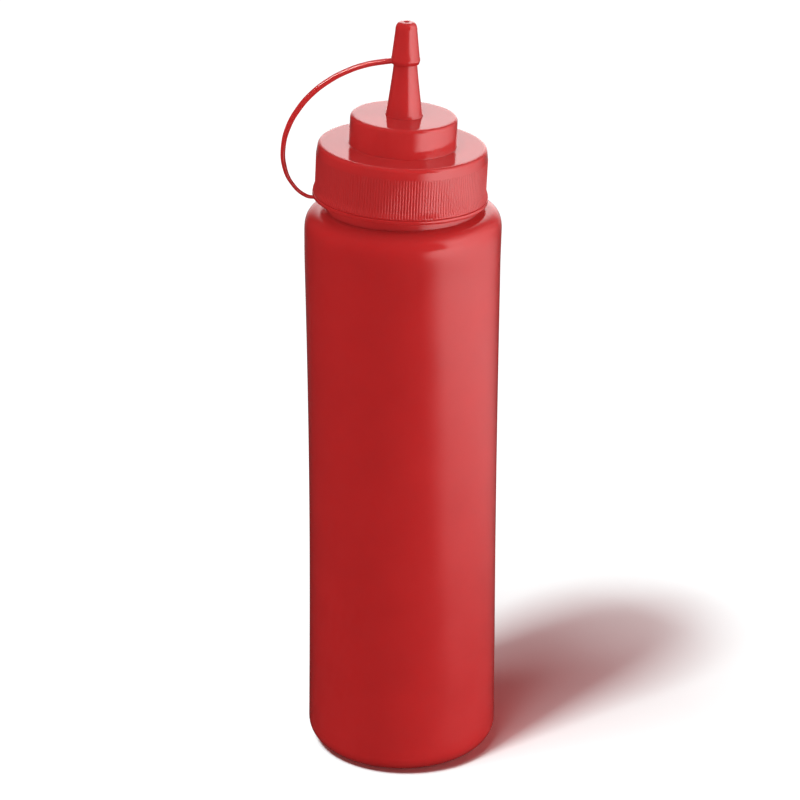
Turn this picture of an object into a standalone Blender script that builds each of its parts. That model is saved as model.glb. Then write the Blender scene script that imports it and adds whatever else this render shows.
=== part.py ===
"""Squeeze bottle for sauces: a slim waisted body, a ribbed screw cap with a
stepped top and a tapered nozzle, and a tip cap held by a moulded strap.

The bottle's axis is Z and its base stands on Z = 0. Every length below is in
millimetres and is turned into metres by MM. The screw cap sits a little askew
on the neck, so the cap's own parts are built round an empty that leans.
"""
import math

import bmesh
import bpy
from mathutils import Vector

MM = 0.001

# Bottle body
BODY_RADIUS = 35.0
WAIST_INSET = 0.68
HEEL_INSET = 8.8
HEEL_HEIGHT = 8.0
SHOULDER_FOOT = 201.6
NECK_FOOT = 209.85
NECK_RADIUS = 27.2
NECK_TOP = 221.0
SHOULDER_FULLNESS = 2.5

# Where the screw cap sits, and how far it leans towards +X
CAP_SEAT = 215.0
CAP_SHIFT = -0.78
CAP_LEAN = 2.55

# Screw cap, heights above the lower edge of its skirt
SKIRT_RADIUS = 30.1
SKIRT_RIM_RADIUS = 30.8
SKIRT_RIM_HEIGHT = 0.6
FLARE_TOP = 2.4
RECESS_RADIUS = 28.3
RECESS_DEPTH = 7.5
COLLAR_FOOT = 14.55
COLLAR_FOOT_RADIUS = 30.12
COLLAR_TOP_RADIUS = 29.55
COLLAR_CHAMFER = 0.8
PLATE_TOP = 18.13
PLATE_EDGE_ROUND = 0.55
TIER_TOP = 28.7
TIER_FOOT_RADIUS = 18.9
TIER_TOP_RADIUS = 18.8
TIER_EDGE_ROUND = 0.8

# Ribs round the skirt
RIB_COUNT = 190
RIB_CREST = 30.5
RIB_ROOT = 30.25
RIB_BAND_TOP = 14.35
RIB_BAND_FOOT = 0.15
RIB_FLARE = 0.65

# Nozzle, heights above the top of the second tier
NOZZLE_LEAN = -1.15
NOZZLE_SINK = 2.0
NOZZLE_FOOT_RADIUS = 6.55
NOZZLE_BEAD_HEIGHT = 0.6
NOZZLE_SEAT_HEIGHT = 18.0
NOZZLE_SEAT_RADIUS = 4.13
NOZZLE_HOLLOWNESS = 1.1
NOZZLE_END_HEIGHT = 28.4
NOZZLE_END_RADIUS = 2.95

# Tip cap on the nozzle, heights above the top of the second tier
FIT_GAP = 0.3
TIP_FOOT = 18.6
TIP_FOOT_RADIUS = 4.75
TIP_LIP_HEIGHT = 19.9
TIP_LIP_RADIUS = 5.12
TIP_SHOULDER_HEIGHT = 30.4
TIP_SHOULDER_RADIUS = 3.85
TIP_TOP = 33.4
TIP_TOP_RADIUS = 1.9
TIP_SHOULDER_FULLNESS = 2.2
TIP_DIMPLE_RADIUS = 1.1
TIP_DIMPLE_DEPTH = 0.35

# Retaining ring under the skirt
RING_OUTER = 31.2
RING_INNER = 28.3
RING_TOP = -0.3
RING_FOOT = -1.45
RING_EDGE = 0.2

# Strap from the ring to the tip cap, in one upright plane through the cap's
# axis: distance from the axis, height above the skirt's edge, half thickness
STRAP_TURN = 192.0
STRAP_ROUTE = (
    (30.2, -0.95, 0.56),
    (33.6, -0.25, 0.66),
    (38.95, 4.45, 0.64),
    (41.9, 10.95, 0.80),
    (42.45, 18.05, 0.85),
    (40.95, 25.00, 0.95),
    (37.65, 31.35, 1.00),
    (33.1, 36.85, 1.00),
    (27.5, 41.30, 1.00),
    (21.2, 44.70, 1.00),
    (14.4, 47.00, 1.00),
    (7.9, 48.05, 1.00),
    (5.0, 48.30, 0.90),
)

# Facets
BODY_STEPS = 64
CAP_STEPS = 64
NOZZLE_STEPS = 32
WAIST_STEPS = 12
ROUND_STEPS = 8
EDGE_STEPS = 3
TAPER_STEPS = 6
STRAP_STEPS = 3
STRAP_ROUNDNESS = 2
MERGE_DISTANCE = 0.00001

# Finishes: linear colour and roughness
BODY_COLOUR = (0.50, 0.018, 0.018, 1.0)
BODY_ROUGHNESS = 0.38
CAP_COLOUR = (0.50, 0.016, 0.016, 1.0)
CAP_ROUGHNESS = 0.14


def clear_scene():
    for item in list(bpy.data.objects):
        bpy.data.objects.remove(item, do_unlink=True)


def new_collection(name):
    collection = bpy.data.collections.new(name)
    bpy.context.scene.collection.children.link(collection)
    return collection


def plastic(name, colour, roughness):
    material = bpy.data.materials.new(name)
    material.use_nodes = True
    shader = material.node_tree.nodes["Principled BSDF"]
    shader.inputs["Base Color"].default_value = colour
    shader.inputs["Roughness"].default_value = roughness
    shader.inputs["Metallic"].default_value = 0.0
    return material


def arc(centre, radii, start, end, steps):
    """Points on an upright ellipse from one angle to another, in degrees."""
    points = []
    for step in range(steps + 1):
        angle = math.radians(start + (end - start) * step / steps)
        across = centre[0] + radii[0] * math.cos(angle)
        up = centre[1] + radii[1] * math.sin(angle)
        points.append((across, up))
    return points


def full_corner(inner, outer, low, high, fullness, steps):
    """Points over a full rounded corner, from its top down to its side."""
    points = []
    for step in range(steps + 1):
        angle = math.pi / 2 * (1 - step / steps)
        across = inner + (outer - inner) * math.cos(angle) ** (2 / fullness)
        up = low + (high - low) * math.sin(angle) ** (2 / fullness)
        points.append((across, up))
    return points


def turned(name, profile, steps, collection, closed=False):
    """A solid turned round Z from a profile that runs down its outer side."""
    mesh = bpy.data.meshes.new(name)
    shape = bmesh.new()
    ring = [shape.verts.new(Vector((across * MM, 0.0, up * MM))) for across, up in profile]
    for first, second in zip(ring, ring[1:]):
        shape.edges.new((first, second))
    if closed:
        shape.edges.new((ring[-1], ring[0]))
    shape.to_mesh(mesh)
    shape.free()
    item = bpy.data.objects.new(name, mesh)
    collection.objects.link(item)
    screw = item.modifiers.new("Turn", "SCREW")
    screw.axis = "Z"
    screw.angle = math.radians(360.0)
    screw.steps = steps
    screw.render_steps = steps
    screw.use_merge_vertices = True
    screw.merge_threshold = MERGE_DISTANCE
    return item


def combine(item, guest, operation):
    """Fuse a guest shape into an item, or cut it away, and hide the guest."""
    step = item.modifiers.new(guest.name, "BOOLEAN")
    step.operation = operation
    step.solver = "EXACT"
    step.object = guest
    guest.hide_render = True
    guest.display_type = "WIRE"


def seat(item, frame):
    """Parent an item to a frame without moving it from the frame's origin."""
    item.parent = frame


def finish(item, material, sharp_angle=30.0):
    item.data.materials.clear()
    item.data.materials.append(material)
    item.data.shade_smooth()
    item.data.set_sharp_from_angle(angle=math.radians(sharp_angle))


def body_profile():
    """Outline of the bottle from the top of its neck down to its base."""
    points = [(0.0, NECK_TOP), (NECK_RADIUS, NECK_TOP)]
    points += full_corner(
        NECK_RADIUS, BODY_RADIUS, SHOULDER_FOOT, NECK_FOOT, SHOULDER_FULLNESS, ROUND_STEPS
    )
    for step in range(1, WAIST_STEPS):
        part = step / WAIST_STEPS
        inset = WAIST_INSET * math.sin(math.pi * part)
        up = SHOULDER_FOOT + (HEEL_HEIGHT - SHOULDER_FOOT) * part
        points.append((BODY_RADIUS - inset, up))
    heel_centre = (BODY_RADIUS - HEEL_INSET, HEEL_HEIGHT)
    points += arc(heel_centre, (HEEL_INSET, HEEL_HEIGHT), 0.0, -90.0, ROUND_STEPS)
    points.append((0.0, 0.0))
    return points


def cap_profile():
    """Outline of the screw cap from its top, down the steps, to its lower edge."""
    tier_centre = (TIER_TOP_RADIUS - TIER_EDGE_ROUND, TIER_TOP - TIER_EDGE_ROUND)
    plate_centre = (COLLAR_TOP_RADIUS - PLATE_EDGE_ROUND, PLATE_TOP - PLATE_EDGE_ROUND)
    tier_radii = (TIER_EDGE_ROUND, TIER_EDGE_ROUND)
    plate_radii = (PLATE_EDGE_ROUND, PLATE_EDGE_ROUND)
    points = [(0.0, TIER_TOP)]
    points += arc(tier_centre, tier_radii, 90.0, 0.0, EDGE_STEPS)
    points += [(TIER_FOOT_RADIUS, PLATE_TOP)]
    points += arc(plate_centre, plate_radii, 90.0, 0.0, EDGE_STEPS)
    points += [
        (COLLAR_FOOT_RADIUS, COLLAR_FOOT),
        (SKIRT_RADIUS, COLLAR_FOOT - COLLAR_CHAMFER),
        (SKIRT_RADIUS, FLARE_TOP),
        (SKIRT_RIM_RADIUS, SKIRT_RIM_HEIGHT),
        (SKIRT_RIM_RADIUS, 0.0),
        (0.0, 0.0),
    ]
    return points


def rib_band(name, collection):
    """A band of fine upright ribs, a crest and a root for each rib."""
    height = RIB_BAND_TOP - RIB_BAND_FOOT
    shape = bmesh.new()
    bmesh.ops.create_cone(
        shape,
        cap_ends=True,
        segments=2 * RIB_COUNT,
        radius1=RIB_CREST * MM,
        radius2=RIB_CREST * MM,
        depth=height * MM,
    )
    bmesh.ops.translate(
        shape, verts=shape.verts, vec=Vector((0.0, 0.0, (RIB_BAND_FOOT + height / 2) * MM))
    )
    bmesh.ops.bisect_plane(
        shape,
        geom=list(shape.verts) + list(shape.edges) + list(shape.faces),
        plane_co=Vector((0.0, 0.0, FLARE_TOP * MM)),
        plane_no=Vector((0.0, 0.0, 1.0)),
    )
    half_pitch = math.pi / RIB_COUNT
    for vert in shape.verts:
        angle = math.atan2(vert.co.y, vert.co.x)
        is_root = round(angle / half_pitch - 0.5) % 2 == 1
        radius = RIB_ROOT if is_root else RIB_CREST
        if vert.co.z < (RIB_BAND_FOOT + FLARE_TOP) / 2 * MM:
            radius += RIB_FLARE
        vert.co.x = radius * MM * math.cos(angle)
        vert.co.y = radius * MM * math.sin(angle)
    mesh = bpy.data.meshes.new(name)
    shape.to_mesh(mesh)
    shape.free()
    item = bpy.data.objects.new(name, mesh)
    collection.objects.link(item)
    return item


def recess(name, collection):
    """The round recess that takes the neck, as a shape to cut away."""
    shape = bmesh.new()
    bmesh.ops.create_cone(
        shape,
        cap_ends=True,
        segments=CAP_STEPS,
        radius1=RECESS_RADIUS * MM,
        radius2=RECESS_RADIUS * MM,
        depth=2 * RECESS_DEPTH * MM,
    )
    mesh = bpy.data.meshes.new(name)
    shape.to_mesh(mesh)
    shape.free()
    item = bpy.data.objects.new(name, mesh)
    collection.objects.link(item)
    return item


def nozzle_radius(height):
    """Radius of the nozzle at a height above the second tier."""
    if height <= NOZZLE_BEAD_HEIGHT:
        return NOZZLE_FOOT_RADIUS
    if height < NOZZLE_SEAT_HEIGHT:
        part = 1 - height / NOZZLE_SEAT_HEIGHT
        spread = NOZZLE_FOOT_RADIUS - NOZZLE_SEAT_RADIUS
        return NOZZLE_SEAT_RADIUS + spread * part ** NOZZLE_HOLLOWNESS
    part = (height - NOZZLE_SEAT_HEIGHT) / (NOZZLE_END_HEIGHT - NOZZLE_SEAT_HEIGHT)
    return NOZZLE_SEAT_RADIUS + (NOZZLE_END_RADIUS - NOZZLE_SEAT_RADIUS) * part


def nozzle_profile():
    """Outline of the nozzle from its end down into the second tier."""
    points = [(0.0, NOZZLE_END_HEIGHT), (NOZZLE_END_RADIUS, NOZZLE_END_HEIGHT)]
    for step in range(TAPER_STEPS + 1):
        part = step / TAPER_STEPS
        height = NOZZLE_SEAT_HEIGHT + (NOZZLE_BEAD_HEIGHT - NOZZLE_SEAT_HEIGHT) * part
        points.append((nozzle_radius(height), height))
    points.append((NOZZLE_FOOT_RADIUS, -NOZZLE_SINK))
    points.append((0.0, -NOZZLE_SINK))
    return points


def tip_profile():
    """Outline of the tip cap: over its dimpled top, down, then up its bore."""
    bore_top = NOZZLE_END_HEIGHT + FIT_GAP
    points = [
        (0.0, TIP_TOP - TIP_DIMPLE_DEPTH),
        (TIP_DIMPLE_RADIUS / 2, TIP_TOP - TIP_DIMPLE_DEPTH),
        (TIP_DIMPLE_RADIUS, TIP_TOP),
    ]
    points += full_corner(
        TIP_TOP_RADIUS,
        TIP_SHOULDER_RADIUS,
        TIP_SHOULDER_HEIGHT,
        TIP_TOP,
        TIP_SHOULDER_FULLNESS,
        EDGE_STEPS,
    )
    points += [
        (TIP_LIP_RADIUS, TIP_LIP_HEIGHT),
        (TIP_FOOT_RADIUS, TIP_FOOT),
        (nozzle_radius(TIP_FOOT) + FIT_GAP, TIP_FOOT),
        (NOZZLE_END_RADIUS + FIT_GAP, bore_top),
        (0.0, bore_top),
    ]
    return points


def ring_profile():
    """Closed outline of the retaining ring's section."""
    return [
        (RING_INNER, RING_TOP),
        (RING_OUTER - RING_EDGE, RING_TOP),
        (RING_OUTER, RING_TOP - RING_EDGE),
        (RING_OUTER, RING_FOOT + RING_EDGE),
        (RING_OUTER - RING_EDGE, RING_FOOT),
        (RING_INNER, RING_FOOT),
    ]


def strap(name, frame, collection):
    """The strap as a smooth round tube along its route, made a mesh."""
    curve = bpy.data.curves.new(name, "CURVE")
    curve.dimensions = "3D"
    curve.resolution_u = STRAP_STEPS
    curve.bevel_depth = MM
    curve.bevel_resolution = STRAP_ROUNDNESS
    curve.use_fill_caps = True
    line = curve.splines.new("BEZIER")
    line.bezier_points.add(len(STRAP_ROUTE) - 1)
    turn = math.radians(STRAP_TURN)
    for point, (across, up, half) in zip(line.bezier_points, STRAP_ROUTE):
        out = Vector((math.cos(turn), math.sin(turn), 0.0)) * across * MM
        point.co = out + Vector((0.0, 0.0, up * MM))
        point.handle_left_type = "AUTO"
        point.handle_right_type = "AUTO"
        point.radius = half
    guide = bpy.data.objects.new(name + "_guide", curve)
    collection.objects.link(guide)
    seat(guide, frame)
    bpy.context.view_layer.update()
    graph = bpy.context.evaluated_depsgraph_get()
    mesh = bpy.data.meshes.new_from_object(guide.evaluated_get(graph))
    shape = bmesh.new()
    shape.from_mesh(mesh)
    bmesh.ops.remove_doubles(shape, verts=shape.verts, dist=MERGE_DISTANCE)
    shape.to_mesh(mesh)
    shape.free()
    item = bpy.data.objects.new(name, mesh)
    item.matrix_world = guide.matrix_world
    collection.objects.link(item)
    bpy.data.objects.remove(guide, do_unlink=True)
    return item


def frame_empty(name, collection, location, lean, parent=None):
    """An empty that leans towards +X by an angle in degrees."""
    empty = bpy.data.objects.new(name, None)
    empty.location = Vector(location) * MM
    empty.rotation_euler = (0.0, math.radians(lean), 0.0)
    empty.parent = parent
    collection.objects.link(empty)
    return empty


def build_bottle(parts, material):
    bottle = turned("bottle", body_profile(), BODY_STEPS, parts)
    finish(bottle, material)


def build_cap(parts, guides, cap_frame, nozzle_frame, material):
    cap = turned("cap", cap_profile(), CAP_STEPS, parts)
    ribs = rib_band("cap_ribs", guides)
    nozzle = turned("cap_nozzle", nozzle_profile(), NOZZLE_STEPS, guides)
    hollow = recess("cap_recess", guides)
    for item in (cap, ribs, hollow):
        seat(item, cap_frame)
    seat(nozzle, nozzle_frame)
    combine(cap, ribs, "UNION")
    combine(cap, nozzle, "UNION")
    combine(cap, hollow, "DIFFERENCE")
    finish(cap, material)


def build_tip_cap(parts, guides, cap_frame, nozzle_frame, material):
    ring = turned("tip_cap", ring_profile(), CAP_STEPS, parts, closed=True)
    thimble = turned("tip_thimble", tip_profile(), NOZZLE_STEPS, guides)
    band = strap("tip_strap", cap_frame, guides)
    seat(ring, cap_frame)
    seat(thimble, nozzle_frame)
    combine(ring, band, "UNION")
    combine(ring, thimble, "UNION")
    finish(ring, material)


def main():
    clear_scene()
    parts = new_collection("squeeze_bottle")
    guides = new_collection("cutters")
    body_plastic = plastic("body_plastic", BODY_COLOUR, BODY_ROUGHNESS)
    cap_plastic = plastic("cap_plastic", CAP_COLOUR, CAP_ROUGHNESS)
    cap_frame = frame_empty("cap_frame", parts, (CAP_SHIFT, 0.0, CAP_SEAT), CAP_LEAN)
    nozzle_frame = frame_empty(
        "nozzle_frame", parts, (0.0, 0.0, TIER_TOP), NOZZLE_LEAN, parent=cap_frame
    )
    build_bottle(parts, body_plastic)
    build_cap(parts, guides, cap_frame, nozzle_frame, cap_plastic)
    build_tip_cap(parts, guides, cap_frame, nozzle_frame, cap_plastic)


main()
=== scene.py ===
"""Red squeeze bottle for sauces, with its ribbed screw cap, nozzle and tip cap.

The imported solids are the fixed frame. Finer pieces stand for each of them, and
the stage gives a pale floor, soft light and a camera at the picture's angle.
Lengths are in metres, with +Z up and the bottle's base on Z = 0.
"""
import math

import bmesh
import bpy
from bpy.props import FloatProperty, FloatVectorProperty, IntProperty, PointerProperty
from mathutils import Matrix, Vector


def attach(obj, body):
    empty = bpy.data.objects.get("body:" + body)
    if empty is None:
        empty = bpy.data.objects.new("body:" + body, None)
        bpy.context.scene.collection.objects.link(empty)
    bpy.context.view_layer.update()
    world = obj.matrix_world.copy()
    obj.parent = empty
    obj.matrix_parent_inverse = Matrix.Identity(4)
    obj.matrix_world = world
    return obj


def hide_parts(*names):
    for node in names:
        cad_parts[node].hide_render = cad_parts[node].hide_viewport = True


bl_info = {
    "name": "Squeeze bottle",
    "version": (1, 0, 0),
    "blender": (4, 5, 0),
    "location": "3D View > Sidebar > Squeeze bottle",
    "description": "A red squeeze bottle for sauces with a ribbed screw cap and a tip cap on a strap",
    "category": "Add Mesh",
}

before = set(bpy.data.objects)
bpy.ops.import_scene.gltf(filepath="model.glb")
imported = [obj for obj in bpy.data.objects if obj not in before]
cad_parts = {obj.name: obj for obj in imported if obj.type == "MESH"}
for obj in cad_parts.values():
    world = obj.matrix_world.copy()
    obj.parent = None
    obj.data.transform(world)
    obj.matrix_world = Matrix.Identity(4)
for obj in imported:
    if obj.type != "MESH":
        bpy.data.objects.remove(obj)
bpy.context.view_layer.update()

BODY = "root"
MM = 0.001
MERGE_DISTANCE = 0.000002
FULL_TURN = 2 * math.pi


def length(name, description, millimetres):
    """A length property, given in millimetres and kept in metres."""
    return FloatProperty(
        name=name,
        description=description,
        default=millimetres * MM,
        precision=5,
        unit="LENGTH",
        subtype="DISTANCE",
    )


def tilt(name, description, degrees):
    """An angle property, given in degrees and kept in radians."""
    return FloatProperty(
        name=name,
        description=description,
        default=math.radians(degrees),
        unit="ROTATION",
        subtype="ANGLE",
    )


def share(name, description, default):
    """A property between nought and one."""
    return FloatProperty(
        name=name, description=description, default=default, min=0.0, max=1.0, subtype="FACTOR"
    )


def count(name, description, default):
    """A whole-number property."""
    return IntProperty(name=name, description=description, default=default, min=3)


def tint(name, description, default):
    """A colour property in linear light."""
    return FloatVectorProperty(
        name=name, description=description, default=default, size=3, min=0.0, subtype="COLOR"
    )


def watts(name, description, default):
    """A property for a lamp's power."""
    return FloatProperty(
        name=name, description=description, default=default, min=0.0, unit="POWER"
    )


class BottleSizes(bpy.types.PropertyGroup):
    """Sizes of the bottle's body."""

    radius: length("Radius", "Radius of the body at its shoulder and heel", 35.0)
    waist_inset: length("Waist", "How far the wall draws in at mid height", 0.68)
    bow: length("Bow", "How far the wall bows towards +X at mid height", 0.24)
    heel_inset: length("Heel inset", "How far the heel's curve reaches inwards", 8.8)
    heel_height: length("Heel height", "Height of the heel's curve", 8.0)
    push_up: length("Push-up", "Depth of the base's hollow at the end of its slope", 1.4)
    push_up_radius: length("Push-up radius", "Radius of the hollow in the base", 21.5)
    shoulder_foot: length("Shoulder foot", "Height at which the shoulder starts", 201.6)
    shoulder_push: length("Shoulder push", "How far the shoulder leans towards +X", 0.25)
    neck_foot: length("Neck foot", "Height at which the shoulder meets the neck", 209.85)
    neck_radius: length("Neck radius", "Radius of the neck", 27.2)
    neck_top: length("Neck top", "Height of the neck's rim", 221.0)
    fullness: FloatProperty(
        name="Fullness", description="Squareness of the shoulder's curve", default=2.75
    )
    rim_round: length("Rim rounding", "Rounding of the neck's rim", 0.6)
    crease_round: length("Crease rounding", "Rounding between shoulder and neck", 0.35)
    steps: count("Steps", "Facets round the body", 224)


class CapSizes(bpy.types.PropertyGroup):
    """Sizes of the screw cap, in the cap's own leaning frame."""

    seat: length("Seat", "Height of the skirt's lower edge on the bottle", 215.0)
    shift: length("Shift", "Sideways place of the cap on the neck", -0.78)
    lean: tilt("Lean", "How far the cap leans towards +X", 2.55)
    skirt_radius: length("Skirt radius", "Radius of the skirt between its ribs", 30.14)
    flare: length("Flare", "How far the skirt's lower edge stands out", 0.74)
    flare_height: length("Flare height", "Height over which the skirt flares", 3.2)
    rim_round: length("Rim rounding", "Rounding of the skirt's lower edge", 0.3)
    mouth_round: length("Mouth rounding", "Rounding of the hollow's lower edge", 0.2)
    recess_radius: length("Recess radius", "Radius of the hollow for the neck", 28.3)
    recess_depth: length("Recess depth", "Depth of the hollow for the neck", 7.5)
    collar_foot: length("Collar foot", "Height of the plain collar's lower edge", 14.55)
    collar_foot_radius: length("Collar foot radius", "Radius of the collar's foot", 30.14)
    collar_top_radius: length("Collar top radius", "Radius of the collar's top", 29.62)
    collar_run_out: length("Collar run-out", "Height over which collar meets skirt", 0.8)
    plate_top: length("Plate top", "Height of the wide plate", 18.13)
    plate_round: length("Plate edge", "Rounding of the wide plate's edge", 1.2)
    tier_top: length("Tier top", "Height of the upper tier", 28.7)
    tier_foot_radius: length("Tier foot radius", "Radius of the upper tier's foot", 18.9)
    tier_top_radius: length("Tier top radius", "Radius of the upper tier's top", 18.8)
    tier_round: length("Tier edge", "Rounding of the upper tier's edge", 1.3)
    corner_fillet: length("Corner fillet", "Rounding of the inner corners", 0.25)
    steps: count("Steps", "Facets round the cap", 224)


class RibSizes(bpy.types.PropertyGroup):
    """Sizes of the ribs round the skirt."""

    number: count("Number", "Ribs round the skirt", 190)
    width: length("Width", "Width of a rib where it is let into the skirt", 0.86)
    crest: length("Crest", "Width of a rib's crest", 0.22)
    rise: length("Rise", "How far a rib stands out of the skirt", 0.085)
    sink: length("Sink", "How far a rib is let into the skirt", 0.08)
    edge: length("Edge", "Rounding of a rib's crest", 0.07)
    foot: length("Foot", "Height of the ribs' lower ends", 0.2)
    top: length("Top", "Height of the ribs' upper ends", 14.42)
    first: tilt("First rib", "Direction of the first rib in the cap's frame", -88.9)


class NozzleSizes(bpy.types.PropertyGroup):
    """Sizes of the nozzle and of the tip cap that closes it."""

    lean: tilt("Lean", "How far the nozzle leans against the cap", -1.15)
    sink: length("Sink", "How far the nozzle is let into the cap", 1.0)
    foot_radius: length("Foot radius", "Radius of the nozzle's foot", 6.4)
    foot_flare: length("Foot flare", "How far the foot stands out at the plate", 0.2)
    foot_flare_height: length("Foot flare height", "Height over which the foot flares", 0.9)
    seat_height: length("Seat height", "Height at which the tip cap starts", 18.0)
    seat_radius: length("Seat radius", "Radius of the nozzle under the tip cap", 4.13)
    hollowness: FloatProperty(
        name="Hollowness", description="Bend of the nozzle's side", default=1.1
    )
    end_height: length("End height", "Height of the nozzle's end", 28.4)
    end_radius: length("End radius", "Radius of the nozzle's end", 2.95)
    end_round: length("End rounding", "Rounding of the nozzle's end", 0.4)
    fit_gap: length("Fit gap", "Room between nozzle and tip cap", 0.3)
    tip_foot: length("Tip foot", "Height of the tip cap's lower edge", 18.6)
    tip_foot_radius: length("Tip foot radius", "Radius of the tip cap's foot", 4.72)
    tip_foot_round: length("Tip foot rounding", "Rounding of the tip cap's foot", 0.12)
    lip_height: length("Lip height", "Height of the tip cap's lip", 19.75)
    lip_radius: length("Lip radius", "Radius of the tip cap's lip", 5.12)
    lip_round: length("Lip rounding", "Rounding of the tip cap's lip", 0.45)
    sleeve_height: length("Sleeve height", "Height at which the lip ends", 21.1)
    sleeve_radius: length("Sleeve radius", "Radius of the tip cap over its lip", 4.87)
    shoulder_height: length("Shoulder height", "Foot of the tip cap's round end", 30.4)
    shoulder_radius: length("Shoulder radius", "Radius at the round end's foot", 3.82)
    tip_top: length("Tip top", "Height of the tip cap's flat end", 33.4)
    tip_top_radius: length("Tip top radius", "Radius of the flat end", 1.9)
    tip_fullness: FloatProperty(
        name="Tip fullness", description="Squareness of the round end", default=2.2
    )
    dimple_radius: length("Dimple radius", "Radius of the dimple in the flat end", 1.05)
    dimple_depth: length("Dimple depth", "Depth of the dimple in the flat end", 0.35)
    steps: count("Steps", "Facets round the nozzle", 128)


class RingSizes(bpy.types.PropertyGroup):
    """Sizes of the retaining ring and of the strap."""

    outer: length("Outer radius", "Outer radius of the ring", 31.05)
    inner: length("Inner radius", "Inner radius of the ring", 28.3)
    top: length("Top", "Height of the ring's top in the cap's frame", -0.08)
    foot: length("Foot", "Height of the ring's foot in the cap's frame", -1.45)
    edge: length("Edge", "Rounding of the ring's edges", 0.28)
    strap_turn: tilt("Strap turn", "Direction of the strap's plane", 192.0)
    steps: count("Steps", "Facets round the ring", 224)


class Finishes(bpy.types.PropertyGroup):
    """Colours and gloss of the three red finishes and of the floor."""

    body_colour: tint("Body colour", "Colour of the bottle's plastic", (0.525, 0.064, 0.065))
    cap_colour: tint("Cap colour", "Colour of the cap's plastic", (0.53, 0.069, 0.069))
    rib_colour: tint("Rib colour", "Colour of the cap's ribs", (0.485, 0.061, 0.061))
    body_gloss: share("Body roughness", "Roughness of the bottle", 0.15)
    cap_gloss: share("Cap roughness", "Roughness of the cap", 0.1)
    rib_gloss: share("Rib roughness", "Roughness of the cap's ribs", 0.2)
    floor_colour: tint("Floor colour", "Colour of the floor", (0.9, 0.9, 0.9))


class Studio(bpy.types.PropertyGroup):
    """Strength of the stage's lamps and glows, and the picture's contrast."""

    key_power: watts("Key", "Power of the small lamp that lights the floor", 2600.0)
    broad_power: watts("Broad key", "Power of the broad lamp that lights the floor", 2460.0)
    front_power: watts("Front", "Power of the soft lamp in front of the bottle", 14.0)
    top_power: watts("Top", "Power of the soft lamp over the bottle", 13.0)
    shoulder_power: watts("Shoulder", "Power of the soft lamp that fills round the neck", 6.5)
    side_power: watts("Side", "Power of the soft lamp at the bottle's right", 19.5)
    strap_power: watts("Strap", "Power of the lamp that shines in the strap's gloss", 104.0)
    sky_glow: tint("Sky glow", "Glow from above and below", (0.19, 0.039, 0.039))
    horizon_glow: tint("Horizon glow", "Glow from all round", (0.99, 0.489, 0.489))
    room_glow: FloatProperty(
        name="Room", description="Radiance of the dark room in the gloss", default=0.04, min=0.0
    )
    contrast_gamma: FloatProperty(
        name="Contrast", description="Display gamma of the picture", default=0.8, min=0.1
    )


def fresh_collection(name):
    """A collection of the scene, made when it is missing."""
    collection = bpy.data.collections.get(name)
    if collection is None:
        collection = bpy.data.collections.new(name)
        bpy.context.scene.collection.children.link(collection)
    return collection


def outline_arc(centre, radii, start, end, steps):
    """Points on an ellipse from one angle to another, in degrees."""
    points = []
    for step in range(steps + 1):
        angle = math.radians(start + (end - start) * step / steps)
        across = centre[0] + radii[0] * math.cos(angle)
        points.append((across, centre[1] + radii[1] * math.sin(angle)))
    return points


def outline_corner(inner, outer, low, high, fullness, steps):
    """Points over a full rounded corner, from its top down to its side."""
    points = []
    for step in range(steps + 1):
        angle = math.pi / 2 * (1 - step / steps)
        across = inner + (outer - inner) * math.cos(angle) ** (2 / fullness)
        up = low + (high - low) * math.sin(angle) ** (2 / fullness)
        points.append((across, up))
    return points


def ease(part):
    """A smooth step from nought to one."""
    part = min(max(part, 0.0), 1.0)
    return part * part * (3 - 2 * part)


def spun(outline, steps, closed=False):
    """A bmesh spun once round Z from an outline of distances and heights."""
    shape = bmesh.new()
    rail = [shape.verts.new((across, 0.0, up)) for across, up in outline]
    for first, second in zip(rail, rail[1:]):
        shape.edges.new((first, second))
    if closed:
        shape.edges.new((rail[-1], rail[0]))
    bmesh.ops.spin(
        shape,
        geom=list(shape.verts) + list(shape.edges),
        cent=(0.0, 0.0, 0.0),
        axis=(0.0, 0.0, 1.0),
        dvec=(0.0, 0.0, 0.0),
        angle=FULL_TURN,
        steps=steps,
        use_merge=True,
        use_normal_flip=False,
        use_duplicate=False,
    )
    bmesh.ops.remove_doubles(shape, verts=shape.verts, dist=MERGE_DISTANCE)
    bmesh.ops.recalc_face_normals(shape, faces=shape.faces)
    return shape


def round_ring(shape, corner, width, segments):
    """Round the ring of edges that a corner of the outline has made."""
    across, up = corner
    slack = MERGE_DISTANCE * 4

    def on_ring(vert):
        radius = math.hypot(vert.co.x, vert.co.y)
        return abs(radius - across) < slack and abs(vert.co.z - up) < slack

    edges = [edge for edge in shape.edges if all(on_ring(vert) for vert in edge.verts)]
    bmesh.ops.bevel(
        shape,
        geom=edges,
        offset=width,
        offset_type="OFFSET",
        segments=segments,
        profile=0.5,
        affect="EDGES",
        clamp_overlap=True,
        material=-1,
    )


def cap_matrix(cap):
    """The cap's leaning frame on the bottle."""
    place = Matrix.Translation((cap.shift, 0.0, cap.seat))
    return place @ Matrix.Rotation(cap.lean, 4, "Y")


def nozzle_matrix(cap, nozzle):
    """The nozzle's frame on the cap's upper tier."""
    place = cap_matrix(cap) @ Matrix.Translation((0.0, 0.0, cap.tier_top))
    return place @ Matrix.Rotation(nozzle.lean, 4, "Y")


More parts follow.
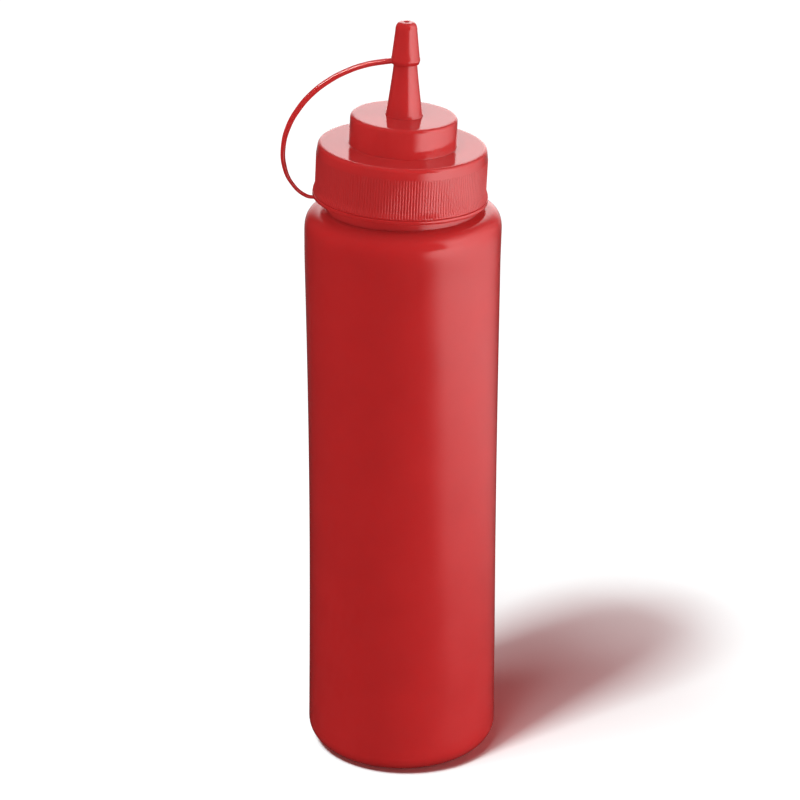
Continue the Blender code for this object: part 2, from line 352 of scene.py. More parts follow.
def stand(name, shape, material, node=None, matrix=None, sharp=40.0, lit="cap_pieces"):
    """Turn a bmesh into a finished piece that rides on the bottle."""
    if matrix is not None:
        bmesh.ops.transform(shape, matrix=matrix, verts=shape.verts)
    bmesh.ops.recalc_face_normals(shape, faces=shape.faces)
    mesh = bpy.data.meshes.new(name)
    shape.to_mesh(mesh)
    shape.free()
    mesh.materials.append(material)
    mesh.shade_smooth()
    mesh.set_sharp_from_angle(angle=math.radians(sharp))
    piece = bpy.data.objects.new(name, mesh)
    fresh_collection("squeeze_bottle").objects.link(piece)
    fresh_collection(lit).objects.link(piece)
    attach(piece, BODY)
    if node:
        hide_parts(node)
    return piece


def link(tree, start, end):
    """Join two sockets of a node tree."""
    tree.links.new(start, end)


def math_node(tree, operation, *values):
    """A Math node fed by sockets or plain numbers."""
    node = tree.nodes.new("ShaderNodeMath")
    node.operation = operation
    for socket, value in zip(node.inputs, values):
        if isinstance(value, (int, float)):
            socket.default_value = value
        else:
            link(tree, value, socket)
    return node.outputs["Value"]


# Textures of the moulded plastic: scales in turns per metre, and detail
PEEL_SCALE = 900.0
PEEL_DETAIL = 2.0
WAVE_SCALE = 60.0
WAVE_DETAIL = 1.0
MOTTLE_SCALE = 55.0
MOTTLE_DETAIL = 4.0
MOTTLE_RANGE = (0.3, 0.7)
# How far roughness and colour stray from their mean, as a share of it
GLOSS_SPREAD = 0.15
SHADE_SPREAD = 0.06
# How far red, green and blue light scatter, as shares of the distance
SCATTER_RADIUS = (1.0, 0.5, 0.5)


def moulded_surface():
    """A node group for moulded plastic: faint peel, slow waves and uneven gloss."""
    group = bpy.data.node_groups.get("moulded_surface")
    if group is not None:
        return group
    group = bpy.data.node_groups.new("moulded_surface", "ShaderNodeTree")
    sockets = (
        ("Position", "INPUT", "NodeSocketVector"),
        ("Peel Scale", "INPUT", "NodeSocketFloat"),
        ("Peel Depth", "INPUT", "NodeSocketFloat"),
        ("Wave Scale", "INPUT", "NodeSocketFloat"),
        ("Wave Depth", "INPUT", "NodeSocketFloat"),
        ("Smooth Roughness", "INPUT", "NodeSocketFloat"),
        ("Dull Roughness", "INPUT", "NodeSocketFloat"),
        ("Height", "OUTPUT", "NodeSocketFloat"),
        ("Roughness", "OUTPUT", "NodeSocketFloat"),
        ("Mottle", "OUTPUT", "NodeSocketFloat"),
    )
    for name, direction, kind in sockets:
        group.interface.new_socket(name=name, in_out=direction, socket_type=kind)
    nodes = group.nodes
    inlet = nodes.new("NodeGroupInput")
    outlet = nodes.new("NodeGroupOutput")
    peel = nodes.new("ShaderNodeTexNoise")
    peel.inputs["Detail"].default_value = PEEL_DETAIL
    wave = nodes.new("ShaderNodeTexNoise")
    wave.inputs["Detail"].default_value = WAVE_DETAIL
    mottle = nodes.new("ShaderNodeTexNoise")
    mottle.inputs["Scale"].default_value = MOTTLE_SCALE
    mottle.inputs["Detail"].default_value = MOTTLE_DETAIL
    gloss = nodes.new("ShaderNodeMapRange")
    gloss.inputs["From Min"].default_value = MOTTLE_RANGE[0]
    gloss.inputs["From Max"].default_value = MOTTLE_RANGE[1]
    link(group, inlet.outputs["Position"], peel.inputs["Vector"])
    link(group, inlet.outputs["Position"], wave.inputs["Vector"])
    link(group, inlet.outputs["Position"], mottle.inputs["Vector"])
    link(group, inlet.outputs["Peel Scale"], peel.inputs["Scale"])
    link(group, inlet.outputs["Wave Scale"], wave.inputs["Scale"])
    height = math_node(group, "MULTIPLY", peel.outputs["Fac"], inlet.outputs["Peel Depth"])
    height = math_node(
        group, "MULTIPLY_ADD", wave.outputs["Fac"], inlet.outputs["Wave Depth"], height
    )
    link(group, mottle.outputs["Fac"], gloss.inputs["Value"])
    link(group, inlet.outputs["Smooth Roughness"], gloss.inputs["To Min"])
    link(group, inlet.outputs["Dull Roughness"], gloss.inputs["To Max"])
    link(group, height, outlet.inputs["Height"])
    link(group, gloss.outputs["Result"], outlet.inputs["Roughness"])
    link(group, mottle.outputs["Fac"], outlet.inputs["Mottle"])
    return group


def plastic(name, colour, roughness, ior, scatter, peel_depth, wave_depth):
    """Moulded plastic that scatters light inside over a distance, or not at all if it is 0."""
    material = bpy.data.materials.get(name)
    if material is not None:
        return material
    material = bpy.data.materials.new(name)
    material.use_nodes = True
    tree = material.node_tree
    shader = tree.nodes["Principled BSDF"]
    shader.inputs["Metallic"].default_value = 0.0
    shader.inputs["IOR"].default_value = ior
    shader.inputs["Subsurface Weight"].default_value = 1.0 if scatter > 0.0 else 0.0
    shader.inputs["Subsurface Radius"].default_value = SCATTER_RADIUS
    shader.inputs["Subsurface Scale"].default_value = scatter
    place = tree.nodes.new("ShaderNodeTexCoord")
    surface = tree.nodes.new("ShaderNodeGroup")
    surface.node_tree = moulded_surface()
    surface.inputs["Peel Scale"].default_value = PEEL_SCALE
    surface.inputs["Peel Depth"].default_value = peel_depth
    surface.inputs["Wave Scale"].default_value = WAVE_SCALE
    surface.inputs["Wave Depth"].default_value = wave_depth
    surface.inputs["Smooth Roughness"].default_value = roughness * (1 - GLOSS_SPREAD)
    surface.inputs["Dull Roughness"].default_value = roughness * (1 + GLOSS_SPREAD)
    bump = tree.nodes.new("ShaderNodeBump")
    bump.inputs["Strength"].default_value = 1.0
    bump.inputs["Distance"].default_value = 1.0
    shade = tree.nodes.new("ShaderNodeMix")
    shade.data_type = "RGBA"
    for socket, level in (("A", 1 - SHADE_SPREAD), ("B", 1 + SHADE_SPREAD)):
        shade.inputs[socket].default_value = (*[part * level for part in colour], 1.0)
    link(tree, place.outputs["Object"], surface.inputs["Position"])
    link(tree, surface.outputs["Height"], bump.inputs["Height"])
    link(tree, surface.outputs["Mottle"], shade.inputs["Factor"])
    link(tree, surface.outputs["Roughness"], shader.inputs["Roughness"])
    link(tree, shade.outputs["Result"], shader.inputs["Base Color"])
    link(tree, bump.outputs["Normal"], shader.inputs["Normal"])
    return material


def body_plastic(finish):
    """The bottle's satin plastic."""
    return plastic(
        "satin_red", finish.body_colour, finish.body_gloss, ior=1.45, scatter=9.0 * MM,
        peel_depth=0.000003, wave_depth=0.00002,
    )


def cap_plastic(finish):
    """The cap's glossy plastic."""
    return plastic(
        "glossy_red", finish.cap_colour, finish.cap_gloss, ior=1.5, scatter=0.6 * MM,
        peel_depth=0.0000015, wave_depth=0.000006,
    )


def rib_plastic(finish):
    """The cap's plastic where the fine ribs break its gloss."""
    return plastic(
        "ribbed_red", finish.rib_colour, finish.rib_gloss, ior=1.5, scatter=0.0,
        peel_depth=0.0000015, wave_depth=0.000006,
    )


SHOULDER_STEPS = 36
WALL_STEPS = 60
HEEL_STEPS = 20
# The hollow in the base: the width of its lip, its edge's height, its slope's
# width, and its depth half way up the slope and at the centre, in push-ups
HOLLOW_LIP = 1.2 * MM
HOLLOW_EDGE = 0.25 * MM
HOLLOW_SLOPE = 5.0 * MM
HOLLOW_HALF_WAY = 0.8
HOLLOW_CENTRE = 1.4
# The shoulder's push grows over one height from a start below the shoulder's
# foot, and dies away over another up to an end above the neck's foot
PUSH_START = 12 * MM
PUSH_RISE = 17 * MM
PUSH_END = 3 * MM
PUSH_FALL = 4 * MM


def sideways(size, up):
    """How far the body stands out towards +X at a height."""
    along = (up - size.heel_height) / (size.shoulder_foot - size.heel_height)
    bow = size.bow * math.sin(math.pi * min(max(along, 0.0), 1.0))
    rise = ease((up - size.shoulder_foot + PUSH_START) / PUSH_RISE)
    fall = ease((size.neck_foot + PUSH_END - up) / PUSH_FALL)
    return bow + size.shoulder_push * rise * fall


class SAUCE_OT_bottle(bpy.types.Operator):
    """Make the bottle's body with its heel, waist, shoulder and neck"""

    bl_idname = "sauce.bottle"
    bl_label = "Bottle body"

    def execute(self, context):
        size = context.scene.sauce_bottle
        rim = (size.neck_radius, size.neck_top)
        crease = (size.neck_radius, size.neck_foot)
        outline = [(0.0, size.neck_top), rim]
        outline += outline_corner(
            size.neck_radius, size.radius, size.shoulder_foot, size.neck_foot, size.fullness,
            SHOULDER_STEPS,
        )
        wall = size.shoulder_foot - size.heel_height
        for step in range(1, WALL_STEPS):
            part = step / WALL_STEPS
            inset = size.waist_inset * math.sin(math.pi * part)
            outline.append((size.radius - inset, size.shoulder_foot - wall * part))
        foot = size.radius - size.heel_inset
        outline += outline_arc(
            (foot, size.heel_height), (size.heel_inset, size.heel_height), 0.0, -90.0, HEEL_STEPS
        )
        edge = size.push_up_radius
        outline += [
            (edge + HOLLOW_LIP, 0.0),
            (edge, HOLLOW_EDGE),
            (edge - HOLLOW_SLOPE / 2, size.push_up * HOLLOW_HALF_WAY),
            (edge - HOLLOW_SLOPE, size.push_up),
            (0.0, size.push_up * HOLLOW_CENTRE),
        ]
        shape = spun(outline, size.steps)
        round_ring(shape, rim, size.rim_round, 3)
        round_ring(shape, crease, size.crease_round, 3)
        for vert in shape.verts:
            vert.co.x += sideways(size, vert.co.z)
        stand("bottle_body", shape, body_plastic(context.scene.sauce_finish),
              node="bottle", lit="bottle_pieces")
        return {"FINISHED"}


FLARE_STEPS = 8
# Share of the flare's height that its curve is past at the skirt's lower edge
FLARE_HEAD_START = 0.02
# Distance of the next point of the outline from an edge that is rounded
EDGE_ROOM = 2.0 * MM


def skirt_flare(cap, up):
    """How far the skirt stands out at a height above its lower edge."""
    return cap.flare * (1 - ease(up / cap.flare_height + FLARE_HEAD_START))


class SAUCE_OT_cap(bpy.types.Operator):
    """Make the screw cap with its skirt, collar, wide plate and upper tier"""

    bl_idname = "sauce.cap"
    bl_label = "Screw cap"

    def execute(self, context):
        cap = context.scene.sauce_cap
        tier_edge = (cap.tier_top_radius, cap.tier_top)
        tier_foot = (cap.tier_foot_radius, cap.plate_top)
        plate_edge = (cap.collar_top_radius, cap.plate_top)
        rim = (cap.skirt_radius + skirt_flare(cap, 0.0), 0.0)
        mouth = (cap.recess_radius, 0.0)
        roof = (cap.recess_radius, cap.recess_depth)
        outline = [
            (0.0, cap.tier_top),
            (cap.tier_top_radius * 0.5, cap.tier_top),
            (cap.tier_top_radius - EDGE_ROOM, cap.tier_top),
            tier_edge,
            (cap.tier_foot_radius, cap.plate_top + EDGE_ROOM),
            tier_foot,
            (cap.tier_foot_radius + EDGE_ROOM, cap.plate_top),
            (cap.collar_top_radius - EDGE_ROOM, cap.plate_top),
            plate_edge,
            (cap.collar_foot_radius, cap.collar_foot),
            (cap.skirt_radius, cap.collar_foot - cap.collar_run_out),
        ]
        for step in range(FLARE_STEPS):
            up = cap.flare_height * (1 - step / FLARE_STEPS)
            outline.append((cap.skirt_radius + skirt_flare(cap, up), up))
        outline += [rim, mouth, roof, (0.0, cap.recess_depth)]
        shape = spun(outline, cap.steps)
        round_ring(shape, tier_edge, cap.tier_round, 6)
        round_ring(shape, plate_edge, cap.plate_round, 6)
        round_ring(shape, tier_foot, cap.corner_fillet, 4)
        round_ring(shape, rim, cap.rim_round, 3)
        round_ring(shape, mouth, cap.mouth_round, 2)
        stand("screw_cap", shape, cap_plastic(context.scene.sauce_finish),
              node="cap", matrix=cap_matrix(cap))
        return {"FINISHED"}


# Heights in millimetres at which a rib is cut, so that it can follow the flare
RIB_CUTS = (0.9, 1.7, 2.8)


class SAUCE_OT_ribs(bpy.types.Operator):
    """Make the fine grip ribs round the cap's skirt"""

    bl_idname = "sauce.ribs"
    bl_label = "Grip ribs"

    def execute(self, context):
        cap = context.scene.sauce_cap
        rib = context.scene.sauce_ribs
        height = rib.top - rib.foot
        depth = rib.rise + rib.sink
        shape = bmesh.new()
        bmesh.ops.create_cube(shape, size=1.0)
        bmesh.ops.scale(shape, vec=(depth, rib.width, height), verts=shape.verts)
        outward = [face for face in shape.faces if face.normal.x > 0.5][0]
        slope = (rib.width - rib.crest) / 2
        for vert in outward.verts:
            vert.co.y -= math.copysign(slope, vert.co.y)
            vert.co.z -= math.copysign(slope, vert.co.z)
        bmesh.ops.bevel(
            shape,
            geom=list(outward.edges),
            offset=rib.edge,
            offset_type="OFFSET",
            segments=2,
            profile=0.5,
            affect="EDGES",
            clamp_overlap=True,
            material=-1,
        )
        middle = cap.skirt_radius + rib.rise - depth / 2
        bmesh.ops.translate(
            shape, verts=shape.verts, vec=(middle, 0.0, (rib.top + rib.foot) / 2)
        )
        for up in RIB_CUTS:
            bmesh.ops.bisect_plane(
                shape,
                geom=list(shape.verts) + list(shape.edges) + list(shape.faces),
                plane_co=(0.0, 0.0, up * MM),
                plane_no=(0.0, 0.0, 1.0),
            )
        for vert in shape.verts:
            vert.co.x += skirt_flare(cap, vert.co.z)
        bmesh.ops.rotate(
            shape, verts=shape.verts, cent=(0.0, 0.0, 0.0),
            matrix=Matrix.Rotation(rib.first, 3, "Z"),
        )
        bmesh.ops.spin(
            shape,
            geom=list(shape.verts) + list(shape.edges) + list(shape.faces),
            cent=(0.0, 0.0, 0.0),
            axis=(0.0, 0.0, 1.0),
            dvec=(0.0, 0.0, 0.0),
            angle=FULL_TURN * (rib.number - 1) / rib.number,
            steps=rib.number - 1,
            use_merge=False,
            use_normal_flip=False,
            use_duplicate=True,
        )
        stand("grip_ribs", shape, rib_plastic(context.scene.sauce_finish),
              matrix=cap_matrix(cap), sharp=60.0)
        return {"FINISHED"}


# Heights in millimetres of the nozzle's outline, from the tip cap's seat down
NOZZLE_HEIGHTS = (
    18.0, 16.0, 14.0, 12.0, 10.0, 8.0, 6.0, 4.5, 3.0, 2.0, 1.3, 0.9, 0.7, 0.5, 0.3, 0.15, 0.0,
)


def nozzle_radius(nozzle, up):
    """Radius of the nozzle at a height above the upper tier."""
    if up < nozzle.seat_height:
        part = 1 - up / nozzle.seat_height
        spread = nozzle.foot_radius - nozzle.seat_radius
        flare = nozzle.foot_flare * (1 - ease(up / nozzle.foot_flare_height))
        return nozzle.seat_radius + spread * part ** nozzle.hollowness + flare
    part = (up - nozzle.seat_height) / (nozzle.end_height - nozzle.seat_height)
    return nozzle.seat_radius + (nozzle.end_radius - nozzle.seat_radius) * part


class SAUCE_OT_nozzle(bpy.types.Operator):
    """Make the tapered nozzle on the cap's upper tier"""

    bl_idname = "sauce.nozzle"
    bl_label = "Nozzle"

    def execute(self, context):
        cap = context.scene.sauce_cap
        nozzle = context.scene.sauce_nozzle
        end = (nozzle.end_radius, nozzle.end_height)
        outline = [(0.0, nozzle.end_height), end]
        for millimetres in NOZZLE_HEIGHTS:
            up = millimetres * MM
            outline.append((nozzle_radius(nozzle, up), up))
        foot = nozzle_radius(nozzle, 0.0)
        outline += [(foot, -nozzle.sink), (0.0, -nozzle.sink)]
        shape = spun(outline, nozzle.steps)
        round_ring(shape, end, nozzle.end_round, 3)
        stand("nozzle", shape, cap_plastic(context.scene.sauce_finish),
              matrix=nozzle_matrix(cap, nozzle))
        return {"FINISHED"}


TIP_ROUND_STEPS = 14
# The dimple's floor and its wall, as shares of its radius and its depth
DIMPLE_FLOOR = 0.55
DIMPLE_WALL = (0.85, 0.6)
# Across and up: from the dimple's edge to the flat end, and from the lip to its top
DIMPLE_RIM = (0.3 * MM, 0.02 * MM)
LIP_SHOULDER = (-0.08 * MM, 0.75 * MM)


class SAUCE_OT_tip_cap(bpy.types.Operator):
    """Make the tip cap that closes the nozzle"""

    bl_idname = "sauce.tip_cap"
    bl_label = "Tip cap"

    def execute(self, context):
        cap = context.scene.sauce_cap
        nozzle = context.scene.sauce_nozzle
        lip = (nozzle.lip_radius, nozzle.lip_height)
        foot = (nozzle.tip_foot_radius, nozzle.tip_foot)
        flat = nozzle.tip_top
        floor = flat - nozzle.dimple_depth
        bore_top = nozzle.end_height + nozzle.fit_gap
        bore_foot = (nozzle_radius(nozzle, nozzle.tip_foot) + nozzle.fit_gap, nozzle.tip_foot)
        outline = [
            (0.0, floor),
            (nozzle.dimple_radius * DIMPLE_FLOOR, floor),
            (nozzle.dimple_radius * DIMPLE_WALL[0], floor + nozzle.dimple_depth * DIMPLE_WALL[1]),
            (nozzle.dimple_radius, flat),
            (nozzle.dimple_radius + DIMPLE_RIM[0], flat + DIMPLE_RIM[1]),
        ]
        outline += outline_corner(
            nozzle.tip_top_radius, nozzle.shoulder_radius, nozzle.shoulder_height, flat,
            nozzle.tip_fullness, TIP_ROUND_STEPS,
        )
        outline += [
            (nozzle.sleeve_radius, nozzle.sleeve_height),
            (nozzle.lip_radius + LIP_SHOULDER[0], nozzle.lip_height + LIP_SHOULDER[1]),
            lip,
            foot,
            bore_foot,
            (nozzle.end_radius + nozzle.fit_gap, bore_top),
            (0.0, bore_top),
        ]
        shape = spun(outline, nozzle.steps)
        round_ring(shape, lip, nozzle.lip_round, 5)
        round_ring(shape, foot, nozzle.tip_foot_round, 2)
        stand("tip_thimble", shape, cap_plastic(context.scene.sauce_finish),
              node="tip_cap", matrix=nozzle_matrix(cap, nozzle))
        return {"FINISHED"}


# The strap's middle line in the cap's frame, from the ring to the tip cap, in
# millimetres: distance from the axis, height over the skirt's edge, half thickness
STRAP_ROUTE = (
    (30.2, -0.95, 0.56),
    (33.6, -0.25, 0.66),
    (38.95, 4.45, 0.64),
    (41.9, 10.95, 0.80),
    (42.45, 18.05, 0.85),
    (40.95, 25.00, 0.95),
    (37.65, 31.35, 1.00),
    (33.1, 36.85, 1.00),
    (27.5, 41.30, 1.00),
    (21.2, 44.70, 1.00),
    (14.4, 47.00, 1.00),
    (7.9, 48.05, 1.00),
    (5.0, 48.30, 0.95),
)
STRAP_STEPS = 14
STRAP_ROUNDNESS = 6


class SAUCE_OT_strap(bpy.types.Operator):
    """Make the arched strap from the ring to the tip cap"""

    bl_idname = "sauce.strap"
    bl_label = "Strap"

    def execute(self, context):
        cap = context.scene.sauce_cap
        turn = context.scene.sauce_ring.strap_turn
        curve = bpy.data.curves.new("strap_route", "CURVE")
        curve.dimensions = "3D"
        curve.resolution_u = STRAP_STEPS
        curve.bevel_depth = MM
        curve.bevel_resolution = STRAP_ROUNDNESS
        curve.use_fill_caps = True
        line = curve.splines.new("BEZIER")
        line.bezier_points.add(len(STRAP_ROUTE) - 1)
        for point, (across, up, half) in zip(line.bezier_points, STRAP_ROUTE):
            out = Vector((math.cos(turn), math.sin(turn), 0.0)) * across * MM
            point.co = out + Vector((0.0, 0.0, up * MM))
            point.handle_left_type = "AUTO"
            point.handle_right_type = "AUTO"
            point.radius = half
        guide = bpy.data.objects.new("strap_route", curve)
        fresh_collection("squeeze_bottle").objects.link(guide)
        context.view_layer.update()
        graph = context.evaluated_depsgraph_get()
        tube = bpy.data.meshes.new_from_object(guide.evaluated_get(graph))
        bpy.data.objects.remove(guide, do_unlink=True)
        shape = bmesh.new()
        shape.from_mesh(tube)
        bpy.data.meshes.remove(tube)
        bmesh.ops.remove_doubles(shape, verts=shape.verts, dist=MERGE_DISTANCE)
        piece = stand("strap", shape, cap_plastic(context.scene.sauce_finish),
                      matrix=cap_matrix(cap))
        fresh_collection("strap_piece").objects.link(piece)
        return {"FINISHED"}


class SAUCE_OT_ring(bpy.types.Operator):
    """Make the retaining ring round the neck"""

    bl_idname = "sauce.ring"
    bl_label = "Retaining ring"

    def execute(self, context):
        cap = context.scene.sauce_cap
        ring = context.scene.sauce_ring
        corners = [
            (ring.inner, ring.top),
            (ring.outer, ring.top),
            (ring.outer, ring.foot),
            (ring.inner, ring.foot),
        ]
        shape = spun(corners, ring.steps, closed=True)
        for corner in corners:
            round_ring(shape, corner, ring.edge, 3)
        stand("retaining_ring", shape, cap_plastic(context.scene.sauce_finish),
              matrix=cap_matrix(cap), lit="bottle_pieces")
        return {"FINISHED"}


CAMERA_PLACE = (0.000694, -1.005119, 0.547059)
CAMERA_RIGHT = (0.99999713, 0.00200633, 0.00131095)
CAMERA_UP = (-0.00197279, 0.37848801, 0.92560409)
CAMERA_AHEAD = (-0.00136089, 0.92560402, -0.37849088)
CAMERA_LENS = 134.655
CAMERA_SENSOR = 36.0
CAMERA_REACH = 50.0
FLOOR_HALF_WIDTH = 1.6
FLOOR_DROP = 0.00005
LAMP_AIM = (0.0, 0.0, 0.12)
# Each lamp's azimuth and elevation in degrees, its distance from the point that
# it is aimed at, and the lengths of its two sides
KEY_LAMP = ((224.0, 60.4), 20.0, (3.0, 2.95))
BROAD_KEY_LAMP = ((222.7, 65.0), 20.0, (10.9, 6.2))
FRONT_LAMP = ((240.0, 22.0), 2.0, (1.6, 1.2))
SIDE_LAMP = ((-15.0, 5.0), 1.5, (0.9, 0.9))
TOP_LAMP = ((225.0, 76.0), 1.6, (1.4, 1.4))
STRAP_LAMP = ((240.0, 64.0), 2.0, (2.4, 0.8))
COOL = (0.78, 1.0, 1.0)
WHITE = (1.0, 1.0, 1.0)


def stage_camera(context):
    """The camera at the picture's angle."""
    data = bpy.data.cameras.new("camera")
    data.lens = CAMERA_LENS
    data.sensor_width = CAMERA_SENSOR
    data.clip_end = CAMERA_REACH
    camera = bpy.data.objects.new("camera", data)
    back = -Vector(CAMERA_AHEAD)
    turn = Matrix((CAMERA_RIGHT, CAMERA_UP, back)).transposed()
    camera.matrix_world = Matrix.Translation(CAMERA_PLACE) @ turn.to_4x4()
    fresh_collection("stage").objects.link(camera)
    context.scene.camera = camera


def stage_floor(finish):
    """A pale floor that the camera sees and that sends no light back on to the pieces."""
    shape = bmesh.new()
    bmesh.ops.create_grid(shape, x_segments=1, y_segments=1, size=FLOOR_HALF_WIDTH)
    mesh = bpy.data.meshes.new("floor")
    shape.to_mesh(mesh)
    shape.free()
    material = bpy.data.materials.new("pale_floor")
    material.use_nodes = True
    shader = material.node_tree.nodes["Principled BSDF"]
    shader.inputs["Base Color"].default_value = (*finish.floor_colour, 1.0)
    shader.inputs["Roughness"].default_value = 1.0
    shader.inputs["Specular IOR Level"].default_value = 0.0
    mesh.materials.append(material)
    floor = bpy.data.objects.new("floor", mesh)
    floor.location.z = -FLOOR_DROP
    floor.visible_glossy = False
    floor.visible_diffuse = False
    fresh_collection("stage").objects.link(floor)


def stage_lamp(name, place, power, colour, lit, shades=True):
    """A soft rectangular lamp for one collection; without shades, no piece blocks it."""
    direction, distance, size = place
    azimuth, elevation = [math.radians(angle) for angle in direction]
    data = bpy.data.lights.new(name, "AREA")
    data.shape = "RECTANGLE"
    data.size, data.size_y = size
    data.energy = power
    data.color = colour
    lamp = bpy.data.objects.new(name, data)
    out = Vector((
        math.cos(elevation) * math.cos(azimuth),
        math.cos(elevation) * math.sin(azimuth),
        math.sin(elevation),
    ))
    lamp.location = Vector(LAMP_AIM) + out * distance
    lamp.rotation_euler = out.to_track_quat("Z", "Y").to_euler()
    lamp.visible_camera = False
    lamp.visible_glossy = False
    lamp.light_linking.receiver_collection = fresh_collection(lit)
    if not shades:
        lamp.light_linking.blocker_collection = fresh_collection("stage")
    fresh_collection("stage").objects.link(lamp)
    return lamp


PANEL_EDGES = ("Azimuth Rise", "Azimuth Fall", "Elevation Rise", "Elevation Fall")


def panel_mask():
    """A node group that outlines one soft panel by azimuth and elevation."""
    group = bpy.data.node_groups.get("soft_panel")
    if group is not None:
        return group
    group = bpy.data.node_groups.new("soft_panel", "ShaderNodeTree")
    inputs = ["Azimuth", "Elevation"]
    inputs += [f"{name} {part}" for name in PANEL_EDGES for part in ("Start", "End")]
    for name in inputs:
        group.interface.new_socket(name=name, in_out="INPUT", socket_type="NodeSocketFloat")
    group.interface.new_socket(name="Mask", in_out="OUTPUT", socket_type="NodeSocketFloat")
    inlet = group.nodes.new("NodeGroupInput")
    outlet = group.nodes.new("NodeGroupOutput")
    mask = 1.0
    for name in PANEL_EDGES:
        edge = group.nodes.new("ShaderNodeMapRange")
        edge.interpolation_type = "SMOOTHSTEP"
        falls = name.endswith("Fall")
        edge.inputs["To Min"].default_value = 1.0 if falls else 0.0
        edge.inputs["To Max"].default_value = 0.0 if falls else 1.0
        link(group, inlet.outputs[name.split()[0]], edge.inputs["Value"])
        link(group, inlet.outputs[f"{name} Start"], edge.inputs["From Min"])
        link(group, inlet.outputs[f"{name} End"], edge.inputs["From Max"])
        mask = math_node(group, "MULTIPLY", mask, edge.outputs["Result"])
    link(group, mask, outlet.inputs["Mask"])
    return group


# Soft panels round the bottle, seen only in its gloss: radiance, azimuth from
# the camera's side towards +X, and elevation, each edge from start to end
PANELS = (
    (4.35, (17.0, 41.0), (50.0, 155.0), (-28.2, -18.6), (25.0, 70.0)),
    (2.2, (140.0, 170.0), (180.0, 215.0), (-25.0, 10.0), (40.0, 75.0)),
)
# Below this elevation the panels lean over by so many degrees for each degree
LEAN_START = -18.0
LEAN_RATE = 3.5
# Between these elevations the first panel's rising edge moves on to these
# azimuths, so that the cap's flat steps mirror less of it in a view from behind
NOTCH_START = 2.0
NOTCH_END = 6.0
NOTCH_EDGE = (46.0, 57.0)
# Between these elevations, up and down, the horizon's glow fades into the sky's
HORIZON_BAND = (20.0, 35.0)


def panel_light(tree, azimuth, elevation, radiance, edges):
    """One soft panel: the group node that outlines it, and its light."""
    panel = tree.nodes.new("ShaderNodeGroup")
    panel.node_tree = panel_mask()
    link(tree, azimuth, panel.inputs["Azimuth"])
    link(tree, elevation, panel.inputs["Elevation"])
    for name, (start, end) in zip(PANEL_EDGES, edges):
        panel.inputs[f"{name} Start"].default_value = start
        panel.inputs[f"{name} End"].default_value = end
    return panel, math_node(tree, "MULTIPLY", panel.outputs["Mask"], radiance)


def notch_panel(tree, elevation, panel, rising_edge):
    """Move a panel's rising edge on above the horizon."""
    over = math_node(tree, "SUBTRACT", elevation, NOTCH_START)
    over = math_node(tree, "MULTIPLY", over, 1.0 / (NOTCH_END - NOTCH_START))
    over = math_node(tree, "MINIMUM", math_node(tree, "MAXIMUM", over, 0.0), 1.0)
    for part, low, high in zip(("Start", "End"), rising_edge, NOTCH_EDGE):
        edge = math_node(tree, "MULTIPLY_ADD", over, high - low, low)
        link(tree, edge, panel.inputs[f"Azimuth Rise {part}"])


def stage_world(context, studio):
    """Surroundings: white for the camera, a red glow for the pieces, panels for their gloss."""
    world = bpy.data.worlds.new("surroundings")
    world.use_nodes = True
    world.cycles.sampling_method = "NONE"
    tree = world.node_tree
    background = tree.nodes["Background"]
    place = tree.nodes.new("ShaderNodeTexCoord")
    parts = tree.nodes.new("ShaderNodeSeparateXYZ")
    link(tree, place.outputs["Generated"], parts.inputs["Vector"])
    ahead = math_node(tree, "MULTIPLY", parts.outputs["Y"], -1.0)
    turn = math_node(tree, "ARCTAN2", parts.outputs["X"], ahead)
    azimuth = math_node(tree, "WRAP", math_node(tree, "DEGREES", turn), 270.0, -90.0)
    rise = math_node(tree, "ARCSINE", parts.outputs["Z"])
    elevation = math_node(tree, "DEGREES", rise)
    below = math_node(tree, "MINIMUM", math_node(tree, "SUBTRACT", elevation, LEAN_START), 0.0)
    azimuth = math_node(tree, "MULTIPLY_ADD", below, LEAN_RATE, azimuth)
    glow = studio.room_glow
    for number, (radiance, *edges) in enumerate(PANELS):
        panel, light = panel_light(tree, azimuth, elevation, radiance, edges)
        glow = math_node(tree, "ADD", glow, light)
        if number == 0:
            notch_panel(tree, elevation, panel, edges[0])
    band = tree.nodes.new("ShaderNodeMapRange")
    band.interpolation_type = "SMOOTHSTEP"
    band.inputs["From Min"].default_value = HORIZON_BAND[0]
    band.inputs["From Max"].default_value = HORIZON_BAND[1]
    band.inputs["To Min"].default_value = 1.0
    band.inputs["To Max"].default_value = 0.0
    link(tree, math_node(tree, "ABSOLUTE", elevation), band.inputs["Value"])
    fill = tree.nodes.new("ShaderNodeMix")
    fill.data_type = "RGBA"
    fill.inputs["A"].default_value = (*studio.sky_glow, 1.0)
    fill.inputs["B"].default_value = (*studio.horizon_glow, 1.0)
    link(tree, band.outputs["Result"], fill.inputs["Factor"])
    rays = tree.nodes.new("ShaderNodeLightPath")
    tone = tree.nodes.new("ShaderNodeMix")
    tone.data_type = "RGBA"
    tone.inputs["A"].default_value = (*WHITE, 1.0)
    link(tree, fill.outputs["Result"], tone.inputs["B"])
    link(tree, rays.outputs["Is Diffuse Ray"], tone.inputs["Factor"])
    link(tree, tone.outputs["Result"], background.inputs["Color"])
    gloss = math_node(tree, "MULTIPLY", rays.outputs["Is Glossy Ray"], glow)
    plain = math_node(tree, "SUBTRACT", 1.0, rays.outputs["Is Glossy Ray"])
    strength = math_node(tree, "ADD", gloss, plain)
    link(tree, strength, background.inputs["Strength"])
    context.scene.world = world


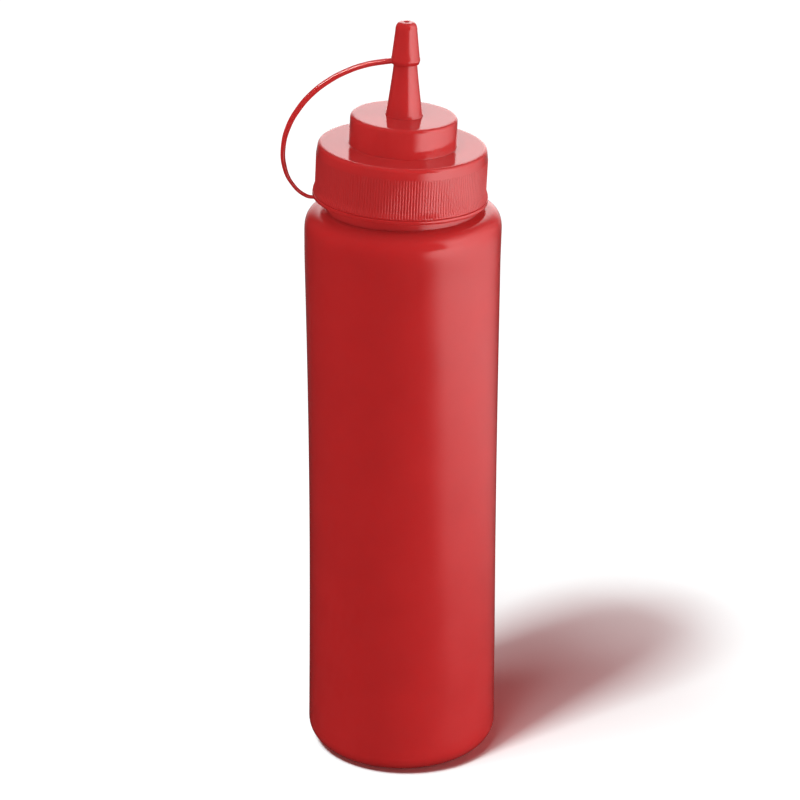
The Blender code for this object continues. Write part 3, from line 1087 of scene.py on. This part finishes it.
class SAUCE_OT_stage(bpy.types.Operator):
    """Make the floor, the lamps, the surroundings and the camera"""

    bl_idname = "sauce.stage"
    bl_label = "Stage"

    def execute(self, context):
        stage_camera(context)
        stage_floor(context.scene.sauce_finish)
        studio = context.scene.sauce_studio
        stage_world(context, studio)
        stage_lamp("key_lamp", KEY_LAMP, studio.key_power, COOL, "stage")
        stage_lamp("broad_key_lamp", BROAD_KEY_LAMP, studio.broad_power, COOL, "stage")
        above = {"cap_pieces": studio.top_power, "bottle_pieces": studio.shoulder_power}
        for lit, top_power in above.items():
            shades = lit == "cap_pieces"
            stage_lamp("front_lamp", FRONT_LAMP, studio.front_power, WHITE, lit, shades)
            stage_lamp("side_lamp", SIDE_LAMP, studio.side_power, WHITE, lit, shades)
            stage_lamp("top_lamp", TOP_LAMP, top_power, WHITE, lit, shades)
        gleam = stage_lamp("strap_lamp", STRAP_LAMP, studio.strap_power, COOL, "strap_piece")
        gleam.visible_glossy = True
        gleam.visible_diffuse = False
        view = context.scene.view_settings
        view.view_transform = "Standard"
        view.gamma = studio.contrast_gamma
        return {"FINISHED"}


class SAUCE_PT_bottle(bpy.types.Panel):
    """Buttons for each piece of the bottle and for its stage"""

    bl_label = "Squeeze bottle"
    bl_idname = "SAUCE_PT_bottle"
    bl_space_type = "VIEW_3D"
    bl_region_type = "UI"
    bl_category = "Squeeze bottle"

    def draw(self, context):
        column = self.layout.column()
        for maker in MAKERS:
            column.operator(maker.bl_idname)


GROUPS = {
    "sauce_bottle": BottleSizes,
    "sauce_cap": CapSizes,
    "sauce_ribs": RibSizes,
    "sauce_nozzle": NozzleSizes,
    "sauce_ring": RingSizes,
    "sauce_finish": Finishes,
    "sauce_studio": Studio,
}
MAKERS = (
    SAUCE_OT_bottle,
    SAUCE_OT_cap,
    SAUCE_OT_ribs,
    SAUCE_OT_nozzle,
    SAUCE_OT_tip_cap,
    SAUCE_OT_strap,
    SAUCE_OT_ring,
    SAUCE_OT_stage,
)


def register():
    """Register the classes and hang their groups on the scene."""
    for name, group in GROUPS.items():
        bpy.utils.register_class(group)
        setattr(bpy.types.Scene, name, PointerProperty(type=group))
    for maker in MAKERS:
        bpy.utils.register_class(maker)
    bpy.utils.register_class(SAUCE_PT_bottle)


def unregister():
    """Take everything that register has added away again."""
    bpy.utils.unregister_class(SAUCE_PT_bottle)
    for maker in reversed(MAKERS):
        bpy.utils.unregister_class(maker)
    for name, group in GROUPS.items():
        delattr(bpy.types.Scene, name)
        bpy.utils.unregister_class(group)


def main():
    """Make every piece and the stage."""
    register()
    for maker in MAKERS:
        category, name = maker.bl_idname.split(".")
        getattr(getattr(bpy.ops, category), name)()


if __name__ == "__main__":
    main()
